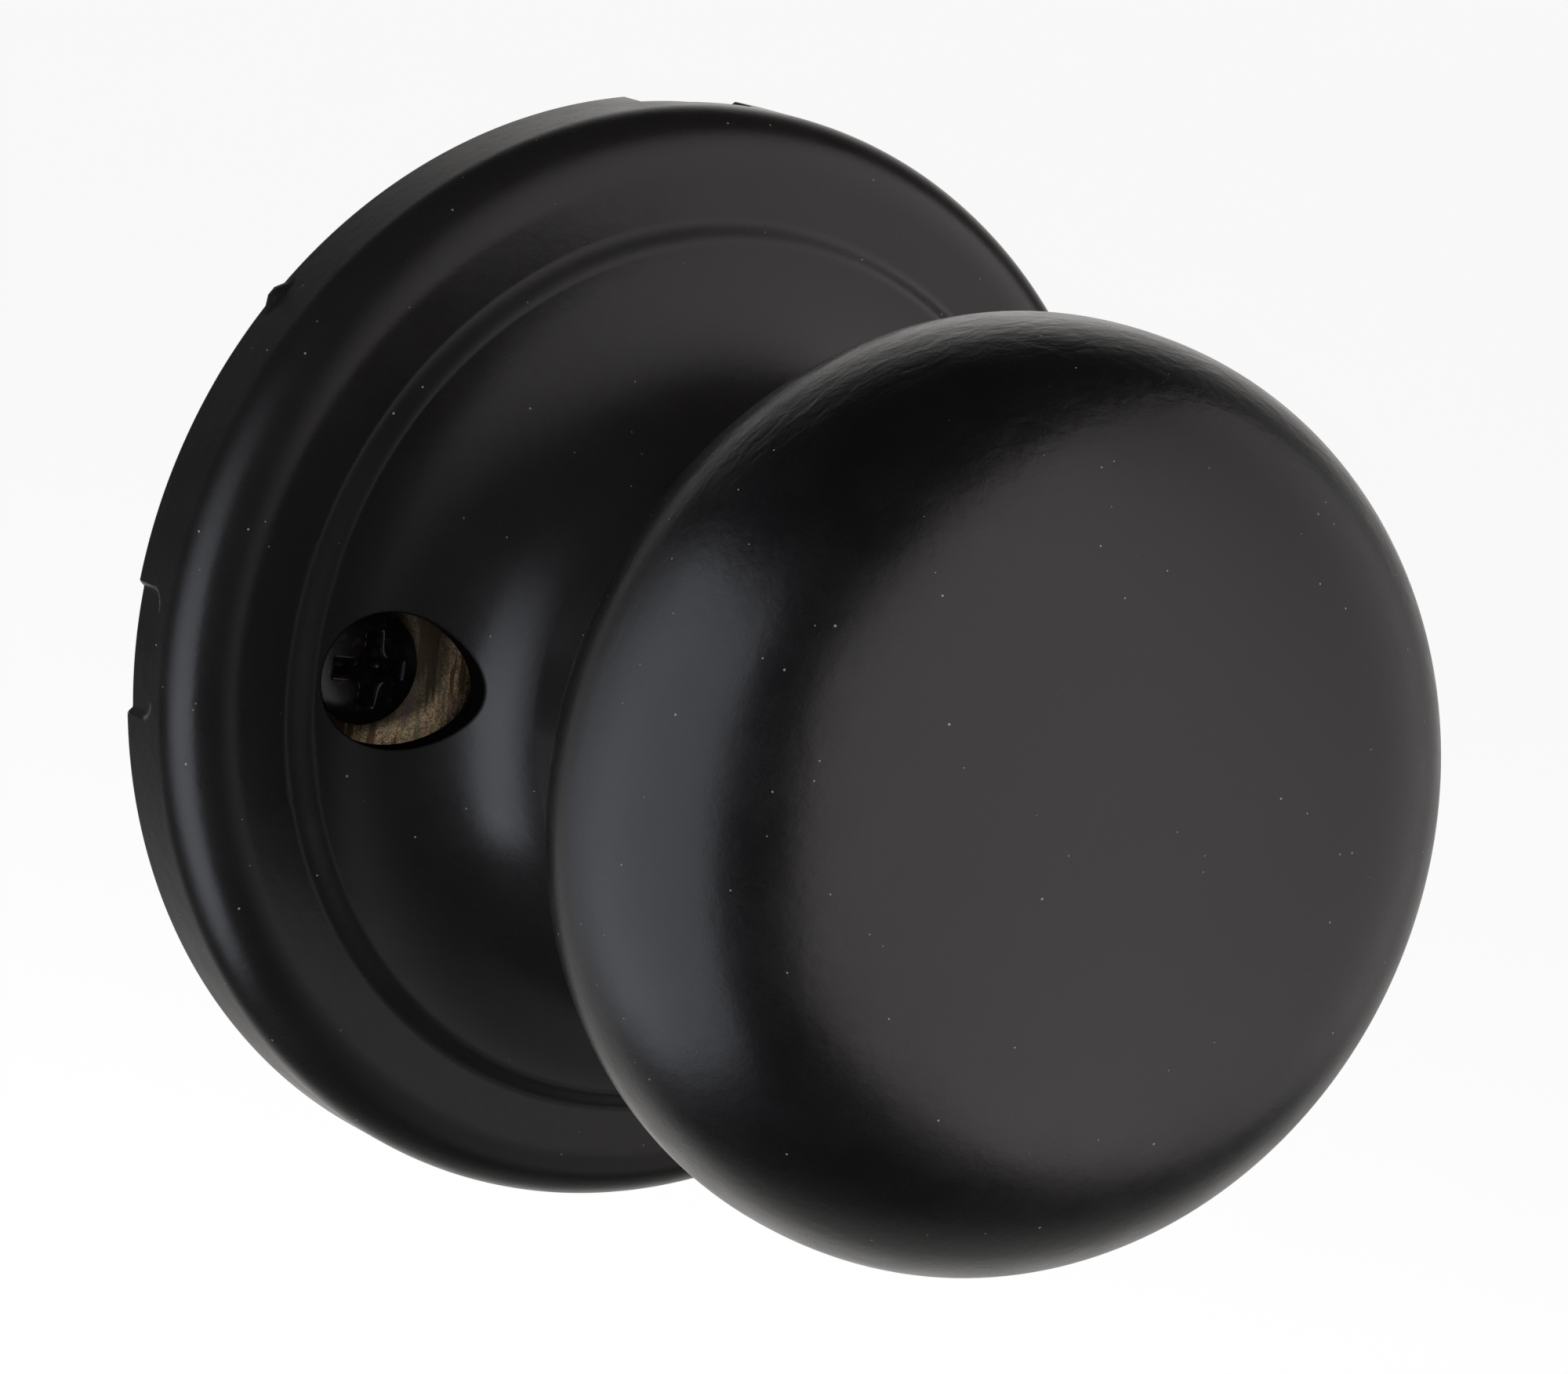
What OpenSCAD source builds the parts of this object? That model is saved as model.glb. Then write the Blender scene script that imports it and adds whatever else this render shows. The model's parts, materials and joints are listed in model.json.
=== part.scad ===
// Inside half of a tubular passage knobset: a hollow round knob that turns on a steel shank,
// a stepped and flared rose, and the sprung mechanism behind it.
// Every sub-part is drawn with its local z pointing out of the door, from the door's face at
// z = 0, and with y up. outward() then lays that z along the assembly's -Y, with +Z up.

/* [Rose] */
// Outside diameter of the rose where it meets the door
rose_d = 66.6; // [66:0.1:68]
// Thickness of the rose's sheet
rose_sheet = 1.05; // [0.9:0.05:1.1]
// Height of the rose's straight skirt above the door
skirt_h = 4; // [3.9:0.05:4.2]
// Radial reach of the rounded shoulder, a quarter of an ellipse
shoulder_run = 3.8; // [3.7:0.05:3.9]
// Height of the rounded shoulder above the skirt
shoulder_rise = 3.65; // [3.5:0.05:3.8]
// Radius where the small step up begins
step_outer_r = 27.4; // [27.2:0.1:27.6]
// Radius where the small step up ends and the flare begins
step_inner_r = 25.5; // [25.4:0.1:25.7]
// Height of the small step
step_h = 0.95; // [0.8:0.05:1.1]
// Radius of the concave flare, next to the step
flare_r = 12.2; // [12.1:0.1:12.3]
// Tighter radius of the flare, next to the collar
flare_top_r = 8.7; // [8.6:0.1:8.8]
// Straight length of the collar above the flare
collar_h = 4.2; // [4:0.1:4.4]

/* [Screws] */
// Distance between the two mounting screws
screw_spacing = 42.4; // [42:0.1:42.8]
// Diameter of each screw's access hole in the rose
access_d = 8; // [7.8:0.05:8.2]
// Distance between the centres of the two access holes
access_spacing = 42.8; // [42.6:0.1:43]
// Outside diameter of the screw's thread
thread_d = 4.166; // [4:0.001:4.2]
// Diameter of the screw's head
head_d = 6.8; // [6.6:0.05:7]
// Full height of the screw's head
head_h = 2.5; // [2.2:0.1:2.8]
// Length of the screw under its head
screw_length = 22.2; // [20:0.1:22.4]

/* [Crimps] */
// Width of each crimp pressed into the skirt
crimp_w = 7.5; // [6:0.1:8]
// Height of each crimp
crimp_h = 2.8; // [2:0.1:3]
// Depth that each crimp is pressed in
crimp_depth = 0.35; // [0.2:0.05:0.35]

/* [Knob] */
// Largest diameter of the knob
knob_d = 54; // [53:0.1:55]
// Height of the knob's largest diameter above the door
knob_mid_h = 40.42; // [40:0.02:42]
// Depth of the knob's face in front of its largest diameter
face_depth = 17.2; // [17:0.02:19]
// Fullness of the face's curve, where 2 is an ellipse
face_power = 2.28; // [2:0.01:2.4]
// Depth of the knob's back behind its largest diameter
back_depth = 14.85; // [14:0.01:15]
// Fullness of the back's curve, where 2 is an ellipse
back_power = 2.28; // [2.2:0.01:2.6]
// Thickness of the knob's sheet
knob_sheet = 0.9; // [0.7:0.05:1]
// Outside diameter of the knob's neck
neck_d = 23.8; // [23.6:0.1:24]
// Radius of the rolled edge that closes the front shell over the back one
hem_r = 24.3; // [24:0.1:24.8]

/* [Mechanism] */
// Outside diameter of the shank tube
shank_d = 16; // [15.9:0.05:16.1]
// Inside diameter of the shank tube
shank_bore_d = 12; // [11.5:0.1:12.4]
// Height of the mounting plate's front face above the door
plate_front_h = 4.6; // [4.4:0.1:4.8]
// Thickness of the mounting plate
plate_t = 1.5; // [1.2:0.1:1.6]
// Wire diameter of the return spring
wire_d = 1.6; // [1.4:0.05:1.7]
// Turn of the knob each way from rest, in degrees
turn_limit = 50; // [40:1:55]
// Diameter of the half-round spindle's socket
socket_d = 8.2; // [7.8:0.1:8.4]

/* [Hidden] */
$fn = 96;

fit = 0.05; // running and assembly clearance on a radius
over = 1; // overshoot of a cut past the face it opens

rose_r = rose_d / 2;
shoulder_turn = 85; // how far round the shoulder's arc runs
ring_rise = shoulder_rise / shoulder_run / tan(shoulder_turn); // slope from shoulder to step
flare_start = 8; // slope of the flare at its outer end, in degrees
flare_bend = 50; // slope where the flare's radius changes
flare_end = 80; // slope of the flare at the collar, in degrees
shoulder_end = shoulder_point(shoulder_turn);
step_z = shoulder_end[1] + ring_rise * (shoulder_end[0] - step_outer_r);
flare_center = [step_inner_r, step_z + step_h] + flare_r * tilt(flare_start);
flare_top_center = flare_center - (flare_r - flare_top_r) * tilt(flare_bend);
collar_foot = flare_top_center - flare_top_r * tilt(flare_end);
collar_top_z = collar_foot[1] + collar_h;
collar_bore_r = collar_foot[0] - rose_sheet * sin(flare_end);

screw_r = screw_spacing / 2;
crown_h = 0.6; // height of the head's domed crown
driver_span = 4.6; // across the cross recess
driver_arm = 1.15; // width of the recess's arms
driver_depth = 1.5;
driver_turn = 9; // how far the screws happen to be turned from upright
screw_hole_r = thread_d / 2 + 0.22;
screw_neck_r = thread_d / 2 - 0.23; // plain shank between the head and the thread
thread_start_z = 1;
screw_tip_z = plate_front_h - screw_length;

plate_r = rose_r - rose_sheet - crimp_depth - fit;
plate_bend_r = 2;
plate_back_h = plate_front_h - plate_t;

knob_r = knob_d / 2;
neck_r = neck_d / 2;
neck_end_z = 14;
shank_r = shank_d / 2;
shank_end_z = -14.5;
shank_top_z = 37;
core_end_z = 9;
core_top_z = 36;
core_r = neck_r - knob_sheet - fit;

cage_r = 17.4; // outside of the spring cage's wall
cage_t = 1;
cage_floor_z = -8.9; // inside face of the cage's floor
cage_back_z = cage_floor_z - cage_t;
cage_flange_r = 18.4;
rivet_circle_r = 21;
rivet_angles = [45, 135, 225, 315];
rivet_r = 1.5;
rivet_head_r = 2.6;
rivet_head_h = 0.8;
ear_r = 3.4;

driver_t = 1.8;
driver_back_z = cage_floor_z + 0.3;
driver_front_z = driver_back_z + driver_t;
finger_half_w = 2.2; // half the width of the driver's finger and of the cage's tab
finger_inner_r = 12.9;
finger_outer_r = 14.3;
arm_tip_r = 15.6;
finger_top_z = 1.6;
tab_inner_r = 14.75;
tab_foot_z = driver_front_z + 0.35;
stop_half_w = 1.5;
stop_inner_r = 13.6;
stop_gap = 0.3;
stop_angle = turn_limit + asin(finger_half_w / stop_inner_r) + asin(stop_half_w / stop_inner_r)
    + stop_gap / stop_inner_r * 180 / PI;

coil_r = 11.5;
coil_turns = 3;
coil_top_z = 0.7;
coil_pitch = 1.9;
leg_x = finger_half_w + wire_d / 2 + 0.02;
leg_tip_y = 15.5;

groove_z = -12.5; // rear side of the retaining ring's groove
groove_w = 1.2;
groove_r = 7.2;
key_w = 3; // width of the two slots that drive the spring driver
key_end_z = driver_front_z + fit;
socket_flat = 1.3; // height of the socket's flat above its centre
socket_depth = 17.5;
socket_top_z = 10;

function unit(v) = v / norm(v);
function arc(center, r, from, to, steps) =
    [for (i = [0:steps]) let (a = from + (to - from) * i / steps) center + r * [cos(a), sin(a)]];
function along(path, i) = unit(path[min(i + 1, len(path) - 1)] - path[max(i - 1, 0)]);
// The path moved sideways by t, and never across the axis.
function moved(path, t) =
    [for (i = [0:len(path) - 1]) let (d = along(path, i), p = path[i] + t * [-d[1], d[0]])
        [max(0, p[0]), p[1]]];
function reversed(path) = [for (i = [len(path) - 1:-1:0]) path[i]];

function tilt(a) = [sin(a), cos(a)];
function shoulder_point(a) =
    [rose_r - shoulder_run, skirt_h] + [shoulder_run * cos(a), shoulder_rise * sin(a)];

// The knob's outline: positive angles are in front of its largest diameter, negative behind.
function knob_point(a) = let (
        power = a >= 0 ? face_power : back_power,
        depth = a >= 0 ? face_depth : -back_depth
    ) [knob_r * pow(cos(a), 2 / power), knob_mid_h + depth * pow(abs(sin(a)), 2 / power)];
function knob_angle(r) = -acos(pow(r / knob_r, back_power / 2));

module outward() { rotate([90, 0, 0]) children(); }

// A washer or tube from z0 up to z1.
module ring(outer, inner, z0, z1) {
    translate([0, 0, z0]) difference() {
        cylinder(r = outer, h = z1 - z0);
        translate([0, 0, -over]) cylinder(r = inner, h = z1 - z0 + 2 * over);
    }
}

// A turned or drawn shell: the path is its outer face, and t is the sheet's thickness.
module shell(path, t) {
    rotate_extrude() polygon(concat(path, reversed(moved(path, t))));
}

// A tube through rings of points, closed at both ends.
module swept(rings) {
    n = len(rings[0]);
    last = len(rings) - 1;
    polyhedron(
        points = [for (r = rings) each r],
        faces = concat(
            [[for (i = [n - 1:-1:0]) i]],
            [for (k = [0:last - 1]) for (i = [0:n - 1])
                [k * n + i, k * n + (i + 1) % n, (k + 1) * n + (i + 1) % n, (k + 1) * n + i]],
            [[for (i = [0:n - 1]) last * n + i]]
        )
    );
}

module at_screws() { for (x = [-screw_r, screw_r]) translate([x, 0, 0]) children(); }

module at_rivets() {
    for (a = rivet_angles) rotate(a) translate([rivet_circle_r, 0, 0]) children();
}

// ---- fixed to the door ----

// One crimp's outline on the skirt: flat at the door's edge, with rounded upper corners.
module crimp_outline() {
    corner = 1.2;
    translate([-over, -crimp_w / 2]) square([crimp_h - corner + over, crimp_w]);
    translate([-over, corner - crimp_w / 2]) square([crimp_h + over, crimp_w - 2 * corner]);
    for (y = [corner - crimp_w / 2, crimp_w / 2 - corner])
        translate([crimp_h - corner, y]) circle(r = corner);
}

// The crimp's outline as a block that reaches from the radius from_r outwards.
module crimp_block(from_r, depth) {
    translate([from_r, 0, 0]) rotate([0, -90, 0]) translate([0, 0, -depth])
        linear_extrude(depth) crimp_outline();
}

module crimps() { for (a = [0:90:270]) rotate(a) children(); }

function rose_path() = concat(
    [[rose_r, 0]],
    [for (i = [0:12]) shoulder_point(shoulder_turn * i / 12)],
    [for (i = [0:10]) let (t = i / 10)
        [step_outer_r + (step_inner_r - step_outer_r) * t,
            step_z + step_h * (1 - cos(180 * t)) / 2]],
    [for (i = [1:18]) flare_center
        - flare_r * tilt(flare_start + (flare_bend - flare_start) * i / 18)],
    [for (i = [1:10]) flare_top_center
        - flare_top_r * tilt(flare_bend + (flare_end - flare_bend) * i / 10)],
    [[collar_foot[0], collar_top_z]]
);

module rose() {
    color([0.09, 0.085, 0.085]) outward() {
        difference() {
            shell(rose_path(), rose_sheet);
            for (x = [-1, 1]) translate([x * access_spacing / 2, 0, 0])
                cylinder(d = access_d, h = collar_top_z);
            crimps() difference() {
                crimp_block(rose_r - 2 * rose_sheet, 4);
                translate([0, 0, -2 * over]) cylinder(r = rose_r - crimp_depth, h = 9);
            }
        }
        crimps() intersection() {
            crimp_block(rose_r - 4, 4);
            ring(rose_r - rose_sheet + fit, rose_r - rose_sheet - crimp_depth, 0, crimp_h);
        }
    }
}

function plate_path() = concat(
    [[plate_r, 0.3]],
    arc([plate_r - plate_bend_r, plate_front_h - plate_bend_r], plate_bend_r, 0, 90, 8),
    [[shank_r + 1.65, plate_front_h]]
);

module mounting_plate() {
    color([0.72, 0.6, 0.3]) outward() difference() {
        shell(plate_path(), plate_t);
        at_screws() cylinder(r = screw_hole_r, h = 9);
        at_rivets() cylinder(r = rivet_r, h = 9);
    }
}

module screw_recess() {
    for (a = [0, 90]) rotate(a + driver_turn)
        translate([-driver_span / 2, -driver_arm / 2, -driver_depth])
            cube([driver_span, driver_arm, driver_depth + over]);
    translate([0, 0, -driver_depth - 0.4]) cylinder(r1 = 0.4, r2 = 1.25, h = driver_depth + 0.4);
}

module mounting_screws() {
    crown_r = (pow(head_d / 2, 2) + crown_h * crown_h) / (2 * crown_h);
    color([0.06, 0.055, 0.055]) outward() at_screws() difference() {
        union() {
            intersection() {
                translate([0, 0, plate_front_h]) cylinder(d = head_d, h = head_h);
                translate([0, 0, plate_front_h + head_h - crown_r]) sphere(r = crown_r);
            }
            translate([0, 0, thread_start_z]) cylinder(r = screw_neck_r, h = plate_front_h + 1);
            translate([0, 0, screw_tip_z + 1])
                cylinder(d = thread_d, h = thread_start_z - screw_tip_z - 1);
            translate([0, 0, screw_tip_z]) cylinder(d1 = thread_d - 1.4, d2 = thread_d, h = 1);
        }
        translate([0, 0, plate_front_h + head_h]) screw_recess();
    }
}

module front_bushing() {
    color([0.1, 0.1, 0.1]) outward() {
        ring(collar_bore_r - fit, neck_r + fit, collar_top_z - 6, collar_top_z + fit);
        ring(collar_foot[0] - 0.3, neck_r + fit, collar_top_z + fit, collar_top_z + 0.8);
    }
}

module plate_bushing() {
    color([0.6, 0.45, 0.25]) outward() {
        ring(shank_r + 1.6, shank_r + fit, 1.2, plate_front_h + fit);
        ring(12, shank_r + fit, plate_front_h, 6);
    }
}

module thrust_washer() {
    color([0.85, 0.84, 0.8]) outward() ring(11.8, shank_r + 2 * fit, 6.05, 6.85);
}

// The stop lug that ends the driver's turn, at angle a from straight up.
module stop_lug(a) {
    rotate(a) translate([-stop_half_w, stop_inner_r, cage_floor_z - fit])
        cube([2 * stop_half_w, cage_r - cage_t / 2 - stop_inner_r, driver_t + 0.6]);
}

module spring_cage() {
    color([0.75, 0.76, 0.78]) outward() {
        difference() {
            union() {
                translate([0, 0, plate_back_h - cage_t]) linear_extrude(cage_t) {
                    circle(r = cage_flange_r);
                    at_rivets() circle(r = ear_r);
                    for (a = rivet_angles) rotate(a) translate([0, -ear_r])
                        square([rivet_circle_r, 2 * ear_r]);
                }
                translate([0, 0, cage_back_z]) cylinder(r = cage_r, h = plate_back_h - cage_back_z);
            }
            translate([0, 0, cage_floor_z]) cylinder(r = cage_r - cage_t, h = 30);
            translate([0, 0, cage_back_z - over]) cylinder(r = shank_r + 1.6, h = 9);
            at_rivets() cylinder(r = rivet_r, h = 9);
        }
        // tab between the spring's two legs
        translate([-finger_half_w, tab_inner_r, tab_foot_z])
            cube([2 * finger_half_w, cage_r - cage_t / 2 - tab_inner_r, finger_top_z - tab_foot_z]);
        stop_lug(stop_angle);
        stop_lug(-stop_angle);
    }
}

module cage_rivets() {
    color([0.7, 0.71, 0.73]) outward() at_rivets() {
        ear_back_z = plate_back_h - cage_t;
        translate([0, 0, ear_back_z - rivet_head_h / 2])
            cylinder(r = rivet_r, h = plate_front_h - ear_back_z + rivet_head_h);
        translate([0, 0, plate_front_h])
            cylinder(r1 = rivet_head_r, r2 = rivet_head_r - 0.7, h = rivet_head_h);
        translate([0, 0, ear_back_z - rivet_head_h])
            cylinder(r1 = rivet_head_r - 0.7, r2 = rivet_head_r, h = rivet_head_h);
    }
}

module rear_bushing() {
    color([0.85, 0.84, 0.8]) outward() {
        ring(shank_r + 1.6 - fit, shank_r + fit, cage_back_z - fit, cage_floor_z - fit);
        ring(11.6, shank_r + fit, cage_back_z - 0.8, cage_back_z);
    }
}

// A torsion coil whose two legs stand either side of the cage's tab and the driver's finger.
module return_spring() {
    sides = 10;
    leg_angle = asin(leg_x / coil_r);
    sweep = 360 * coil_turns + 2 * leg_angle;
    steps = 96;
    drop = coil_pitch * sweep / 360;
    coil = [for (i = [0:steps]) let (a = 90 + leg_angle - sweep * i / steps)
        [coil_r * cos(a), coil_r * sin(a), coil_top_z - drop * i / steps]];
    route = concat([[-leg_x, leg_tip_y, coil_top_z]], coil, [[leg_x, leg_tip_y, coil_top_z - drop]]);
    last = len(route) - 1;
    rings = [for (i = [0:last]) let (
            ahead = unit(route[min(i + 1, last)] - route[max(i - 1, 0)]),
            across = unit(cross(ahead, [0, 0, 1])),
            up = cross(across, ahead)
        ) [for (k = [0:sides - 1]) let (a = 360 * k / sides)
            route[i] + wire_d / 2 * (cos(a) * across + sin(a) * up)]];
    color([0.3, 0.3, 0.32]) outward() swept(rings);
}

// ---- turns with the knob ----

module knob_shell() {
    front = [for (i = [0:30]) knob_point(90 - 3 * i)];
    behind = [for (i = [1:10]) knob_point(knob_angle(hem_r) * i / 10)];
    color([0.12, 0.115, 0.115]) outward() shell(concat(front, behind), -knob_sheet);
}

// The back shell's rim sits inside the front shell, steps out past the hem, and runs in to the neck.
module knob_back() {
    tuck = knob_sheet + fit;
    hem_a = knob_angle(hem_r - 0.15);
    dish_a = knob_angle(15);
    dish = knob_point(dish_a);
    before = knob_point(dish_a + 1);
    slope = atan2(before[1] - dish[1], before[0] - dish[0]);
    fillet_r = (dish[0] - neck_r) / (1 - sin(slope));
    fillet = [neck_r + fillet_r, dish[1] - fillet_r * cos(slope)];
    rim = [for (i = [0:6]) knob_point(-8 + (hem_a + 8) * i / 6)];
    path = concat(
        moved(rim, -tuck),
        [for (i = [1:10]) knob_point(hem_a - 2 + (dish_a - hem_a + 2) * i / 10)],
        [for (i = [1:9]) let (a = 90 + slope + (90 - slope) * i / 9)
            fillet + fillet_r * [cos(a), sin(a)]],
        [[neck_r, neck_end_z]]
    );
    color([0.12, 0.115, 0.115]) outward() shell(path, -knob_sheet);
}

module knob_stiffener() {
    rim_r = knob_r - knob_sheet - 0.35;
    path = [[rim_r, knob_mid_h + 2.5], [rim_r, knob_mid_h - 0.5], [rim_r - 1.5, knob_mid_h - 2],
        [13, core_top_z], [shank_r + fit, core_top_z]];
    color([0.7, 0.71, 0.73]) outward() shell(path, -knob_sheet);
}

module knob_core() {
    color([0.62, 0.62, 0.64]) outward() difference() {
        union() {
            ring(core_r, shank_r + 0.02, core_end_z, core_top_z);
            ring(12.5, shank_r + 0.02, core_top_z - 3, core_top_z);
        }
        translate([-20, 0, core_top_z - 6]) rotate([0, 90, 0]) cylinder(r = rivet_r, h = 40);
    }
}

module core_pin() {
    color([0.45, 0.45, 0.47]) outward() translate([0, 0, core_top_z - 6]) rotate([0, 90, 0])
        difference() {
            cylinder(r = rivet_r, h = 2 * core_r - 0.4, center = true);
            cylinder(r = 0.9, h = 30, center = true);
        }
}

module shank() {
    color([0.7, 0.71, 0.73]) outward() difference() {
        union() {
            cylinder_span(shank_r, shank_end_z, shank_top_z);
            cylinder_span(shank_r + 1.4, shank_top_z - fit, shank_top_z + 0.9);
        }
        cylinder_span(shank_bore_d / 2, shank_end_z - over, shank_top_z + 2);
        ring(shank_r + 2, groove_r, groove_z, groove_z + groove_w);
        translate([-shank_r - over, -key_w / 2, shank_end_z - over])
            cube([2 * (shank_r + over), key_w, key_end_z - shank_end_z + over]);
        translate([0, 0, core_top_z - 6]) rotate([0, 90, 0])
            cylinder(r = rivet_r, h = 40, center = true);
        translate([0, 0, socket_top_z - 3]) rotate([0, 90, 0])
            cylinder(r = 1, h = 40, center = true);
    }
}

// A solid cylinder from z0 up to z1.
module cylinder_span(r, z0, z1) { translate([0, 0, z0]) cylinder(r = r, h = z1 - z0); }

// The half-round hole that the spindle of the outside knob slides into.
module spindle_hole() {
    translate([0, 0, shank_end_z - over]) intersection() {
        cylinder(d = socket_d, h = socket_depth + over);
        translate([-socket_d, socket_flat - 2 * socket_d, 0])
            cube([2 * socket_d, 2 * socket_d, socket_depth + over]);
    }
}

module spindle_socket() {
    color([0.6, 0.6, 0.62]) outward() difference() {
        cylinder_span(shank_bore_d / 2 - 0.02, shank_end_z, socket_top_z);
        spindle_hole();
        translate([0, 0, socket_top_z - 3]) rotate([0, 90, 0])
            cylinder(r = 1, h = 40, center = true);
    }
}

module socket_pin() {
    color([0.45, 0.45, 0.47]) outward() translate([0, 0, socket_top_z - 3]) rotate([0, 90, 0])
        cylinder(r = 1, h = shank_d - 0.6, center = true);
}

// A thin ring pressed into three waves, between the thrust washer and the knob's core.
module wave_washer() {
    steps = 72;
    t = 0.35;
    lift = 0.55;
    mid_z = 7.9;
    inner = shank_r + 2 * fit;
    outer = 10.6;
    section = [[inner, -t / 2], [outer, -t / 2], [outer, t / 2], [inner, t / 2]];
    points = [for (k = [0:steps - 1]) let (a = 360 * k / steps, z = mid_z + lift * sin(3 * a))
        for (p = section) [p[0] * cos(a), p[0] * sin(a), z + p[1]]];
    color([0.5, 0.5, 0.52]) outward() polyhedron(
        points = points,
        faces = [for (k = [0:steps - 1]) for (i = [0:3]) let (n = (k + 1) % steps)
            [4 * k + i, 4 * n + i, 4 * n + (i + 1) % 4, 4 * k + (i + 1) % 4]]
    );
}

module spring_driver() {
    color([0.66, 0.66, 0.68]) outward() {
        difference() {
            union() {
                cylinder_span(12.4, driver_back_z, driver_front_z);
                translate([-finger_half_w, 0, driver_back_z])
                    cube([2 * finger_half_w, arm_tip_r, driver_t]);
            }
            difference() {
                cylinder_span(shank_r + 0.02, driver_back_z - over, driver_front_z + over);
                for (a = [0, 180]) rotate(a) translate([shank_bore_d / 2 + 0.3, 0.02 - key_w / 2, -20])
                    cube([4, key_w - 0.04, 40]);
            }
        }
        translate([-finger_half_w, finger_inner_r, driver_front_z - fit])
            cube([2 * finger_half_w, finger_outer_r - finger_inner_r,
                finger_top_z - driver_front_z + fit]);
    }
}

module flat_washer() {
    color([0.75, 0.76, 0.78]) outward() ring(11, shank_r + fit, -11.28, -10.76);
}

module retaining_ring() {
    color([0.25, 0.25, 0.27]) outward() translate([0, 0, groove_z + fit]) linear_extrude(1.1)
        difference() {
            circle(r = 10.4);
            circle(r = groove_r + fit);
            polygon([[0, 0], [8, -16], [-8, -16]]);
        }
}

rose();
mounting_plate();
mounting_screws();
front_bushing();
plate_bushing();
thrust_washer();
spring_cage();
cage_rivets();
rear_bushing();
return_spring();
knob_shell();
knob_back();
knob_stiffener();
knob_core();
core_pin();
shank();
spindle_socket();
socket_pin();
wave_washer();
spring_driver();
flat_washer();
retaining_ring();
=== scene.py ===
"""Looks for the door knob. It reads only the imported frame. Lengths below are in millimetres."""

import json
import math

import bmesh
import bpy
from mathutils import Matrix, Vector


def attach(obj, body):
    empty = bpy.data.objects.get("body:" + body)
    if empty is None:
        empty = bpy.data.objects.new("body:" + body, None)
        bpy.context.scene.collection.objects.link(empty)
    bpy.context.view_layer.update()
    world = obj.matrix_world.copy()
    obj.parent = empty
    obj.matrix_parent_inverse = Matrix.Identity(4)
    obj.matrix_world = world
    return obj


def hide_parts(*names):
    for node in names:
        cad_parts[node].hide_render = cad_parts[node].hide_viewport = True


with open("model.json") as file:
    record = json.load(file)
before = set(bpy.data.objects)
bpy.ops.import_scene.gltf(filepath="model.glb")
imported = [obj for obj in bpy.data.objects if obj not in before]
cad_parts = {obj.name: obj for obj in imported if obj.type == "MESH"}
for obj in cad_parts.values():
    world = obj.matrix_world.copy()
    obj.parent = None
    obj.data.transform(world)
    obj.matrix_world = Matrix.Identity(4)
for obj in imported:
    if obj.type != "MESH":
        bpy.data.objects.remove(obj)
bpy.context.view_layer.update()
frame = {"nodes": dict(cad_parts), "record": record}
NODES = frame["nodes"]
MM = 0.001
TAU = 2 * math.pi

# The same sizes as in the part's source. Heights stand out of the door, along the row's -Y.
ROSE_R, ROSE_SHEET, SKIRT_H = 33.3, 1.05, 4.0
SHOULDER_RUN, SHOULDER_RISE, SHOULDER_TURN = 3.8, 3.65, 85.0
STEP_OUT, STEP_IN, STEP_H = 27.4, 25.5, 0.95
FLARE_R, FLARE_TOP_R = 12.2, 8.7
FLARE_START, FLARE_BEND, FLARE_END = 8.0, 50.0, 80.0  # in degrees; its radius changes at the bend
COLLAR_H = 4.2
SCREW_R, HOLE_CENTRE, ACCESS_R = 21.2, 21.4, 4.0  # the screws, and their access holes in the rose
CRIMP_W, CRIMP_H, CRIMP_DEPTH, CRIMP_CORNER = 7.5, 2.8, 0.35, 1.0
KNOB_R, KNOB_MID, KNOB_SHEET = 27.0, 40.42, 0.9
HEM_R, DISH_R, NECK_R, NECK_END = 24.3, 15.0, 11.9, 14.0
FACE_DEPTH, FACE_POWER, BACK_DEPTH, BACK_POWER = 17.2, 2.28, 14.85, 2.28
HEAD_R, HEAD_H, CROWN_H, PLATE_Z = 3.4, 2.5, 0.6, 4.6
THREAD_R, THREAD_ROOT, THREAD_PITCH, SCREW_NECK_R = 2.083, 1.62, 0.794, 1.853
THREAD_TOP, SCREW_TIP = 1.0, -17.6

# Only the looks have these.
RISE_OUT, RISE_IN = 27.2, 25.7  # the step's visible rise, with its ends rounded into the ring and the flare
PATCH_IN, PATCH_OUT = 16.5, STEP_OUT  # the part of the rose whose mesh fans out from an access hole
PATCH_HALF = math.radians(16)
PUNCHED_EDGE = 0.07  # rounding of an access hole's edge
BURR_AT = math.radians(141.5)  # where the rose's back edge has a small burr
DRIVER_TURN = -3.0  # the screws' cross recess from upright, in degrees


def deg(a):
    return math.radians(a)


def smoothstep(lo, hi, x):
    t = max(0.0, min(1.0, (x - lo) / (hi - lo)))
    return t * t * (3 - 2 * t)


# ---------------------------------------------------------------- meshes


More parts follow.
